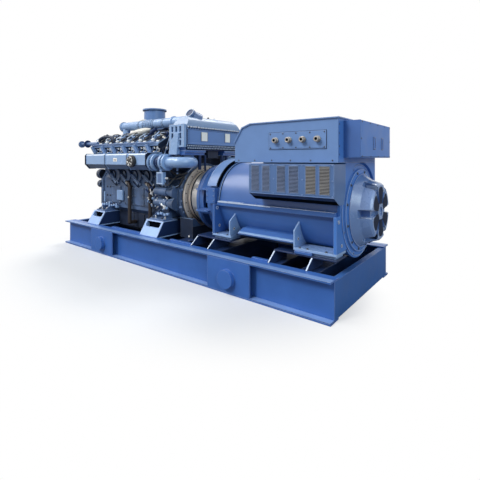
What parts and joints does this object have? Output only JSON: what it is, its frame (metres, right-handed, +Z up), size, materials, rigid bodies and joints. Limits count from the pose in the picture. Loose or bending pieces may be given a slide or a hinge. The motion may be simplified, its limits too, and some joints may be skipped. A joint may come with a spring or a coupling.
{
  "type": "gas engine generating set",
  "caption": "Gas engine generating set: a V engine coupled to an alternator with a roof terminal box and a charge cooler, all on one steel base frame with lifting bosses.",
  "frame": {"origin": "on the floor plane under the shaft line, below the coupling between the engine and the alternator", "axes": "+X along the shaft toward the free end of the alternator, -Y toward the cable gland side, +Z up"},
  "size_m": [4.812, 1.76, 2.18],
  "materials": {
    "frame_blue": "semi-gloss paint",
    "frame_end_blue": "semi-gloss paint",
    "pedestal_blue": "semi-gloss paint",
    "machine_blue": "satin paint",
    "cast_blue": "satin paint on castings",
    "dark_cast": "satin paint",
    "bare_steel": "machined",
    "bright_metal": "polished",
    "black": "satin"
  },
  "bodies": {
    "root": {"base_beams": "frame_blue", "lifting_pads": "frame_blue", "base_ends": "frame_end_blue", "base_cross_beams": "frame_end_blue", "base_rails": "frame_blue", "engine_pedestals": "pedestal_blue", "alternator_pedestals": "pedestal_blue", "engine_feet": "machine_blue", "alternator_feet": "machine_blue", "alternator_barrel": "machine_blue", "barrel_ledges": "machine_blue", "drive_end_plate": "machine_blue", "guard_band": "machine_blue", "drive_end_bell": "machine_blue", "adapter_ring": "bare_steel", "coupling_hub": "bright_metal", "free_end_bracket": "machine_blue", "free_end_cap": "frame_end_blue", "upper_housing": "machine_blue", "louvre_box": "machine_blue", "terminal_box": "machine_blue", "gland_plate": "machine_blue", "cable_glands": "bright_metal", "auxiliary_box": "machine_blue", "engine_block": "cast_blue", "oil_sump": "cast_blue", "flywheel_housing": "cast_blue", "gear_case": "cast_blue", "cylinder_heads": "pedestal_blue", "mixture_manifolds": "pedestal_blue", "manifold_elbows": "pedestal_blue", "throttle_actuators": "pedestal_blue", "relief_valves": "black", "exhaust_housing": "dark_cast", "exhaust_stack": "machine_blue", "inlet_tube": "machine_blue", "charge_cooler": "machine_blue", "cooler_cover": "pedestal_blue", "cooler_end_frames": "pedestal_blue", "cooler_base": "machine_blue", "cooler_neck": "dark_cast", "coolant_pipe": "machine_blue", "front_pulleys": "black", "starter_motors": "black", "drain_hoses": "black", "crankcase_doors": "machine_blue"}
  },
  "joints": []
}
